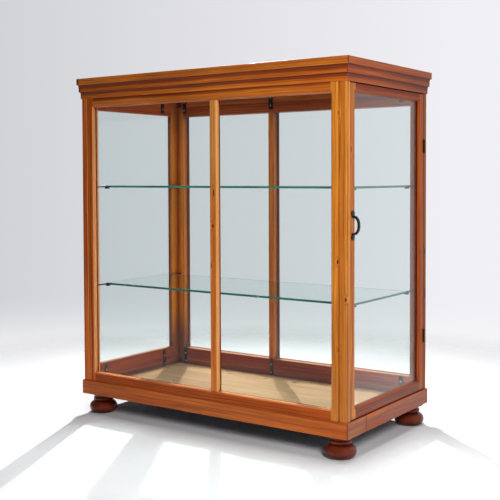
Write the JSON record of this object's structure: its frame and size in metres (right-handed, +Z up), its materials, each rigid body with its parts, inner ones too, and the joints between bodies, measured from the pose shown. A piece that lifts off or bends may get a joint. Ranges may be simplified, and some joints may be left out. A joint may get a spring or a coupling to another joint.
{
  "type": "glazed display case",
  "caption": "Free-standing glazed wooden display case on bun feet, with a stepped cornice, glass shelves inside and a hinged glazed door on its right-hand side.",
  "frame": {"origin": "centre of the case's footprint, on the floor under the feet", "axes": "+Z up, +X to the case's right (the door side), the two-pane front faces -Y"},
  "size_m": [0.6212, 0.3234, 0.6672],
  "materials": {
    "stained_pine": "satin varnish over stained pine",
    "turned_pine": "gloss varnish over dark stained pine",
    "pale_pine": "planed, clear matt",
    "beech": "plain",
    "pane_glass": "clear float",
    "shelf_glass": "clear float with polished green edges",
    "dark_steel": "dark oxidised",
    "bronzed_steel": "dark bronzed",
    "black_iron": "gloss black",
    "bright_steel": "nickel plated"
  },
  "bodies": {
    "case": {"cap_back": "stained_pine", "cap_front": "stained_pine", "cap_left": "stained_pine", "cap_right": "stained_pine", "catch_magnet": "bright_steel", "cornice_back": "stained_pine", "cornice_front": "stained_pine", "cornice_left": "stained_pine", "cornice_right": "stained_pine", "floor_board": "pale_pine", "foot_dowels": "beech", "foot_front_left": "turned_pine", "foot_front_right": "turned_pine", "foot_rear_left": "turned_pine", "foot_rear_right": "turned_pine", "glazing_beads_back": "stained_pine", "glazing_beads_front": "stained_pine", "glazing_beads_left": "stained_pine", "hinge_fixed_leaves": "bronzed_steel", "hinge_pins": "bronzed_steel", "hinge_post_screws": "bronzed_steel", "joint_plate_screws": "dark_steel", "joint_plates": "dark_steel", "mullion_back": "stained_pine", "mullion_front": "stained_pine", "pane_back_left": "pane_glass", "pane_back_right": "pane_glass", "pane_front_left": "pane_glass", "pane_front_right": "pane_glass", "pane_left": "pane_glass", "plinth_back": "stained_pine", "plinth_front": "stained_pine", "plinth_left": "stained_pine", "plinth_right": "stained_pine", "post_front_left": "stained_pine", "post_front_right": "stained_pine", "post_rear_left": "stained_pine", "post_rear_right": "stained_pine", "rail_back_bottom": "stained_pine", "rail_back_top": "stained_pine", "rail_front_bottom": "stained_pine", "rail_front_top": "stained_pine", "rail_left_bottom": "stained_pine", "rail_left_top": "stained_pine", "shelf_lower": "shelf_glass", "shelf_pegs": "dark_steel", "shelf_upper": "shelf_glass", "top_panel": "stained_pine"},
    "door": {"catch_strike": "bright_steel", "door_beads": "stained_pine", "door_handle": "black_iron", "door_pane": "pane_glass", "door_rail_bottom": "stained_pine", "door_rail_top": "stained_pine", "door_stile_closing": "stained_pine", "door_stile_hinge": "stained_pine", "handle_screws": "black_iron", "hinge_door_screws": "bronzed_steel", "hinge_moving_leaves": "bronzed_steel"}
  },
  "joints": [
    {"name": "door_hinge", "type": "hinge", "parent": "case", "child": "door", "pos_m": [0.3013, 0.14215, 0], "axis": [0, 0, 1], "range_deg": [0, 110]}
  ]
}
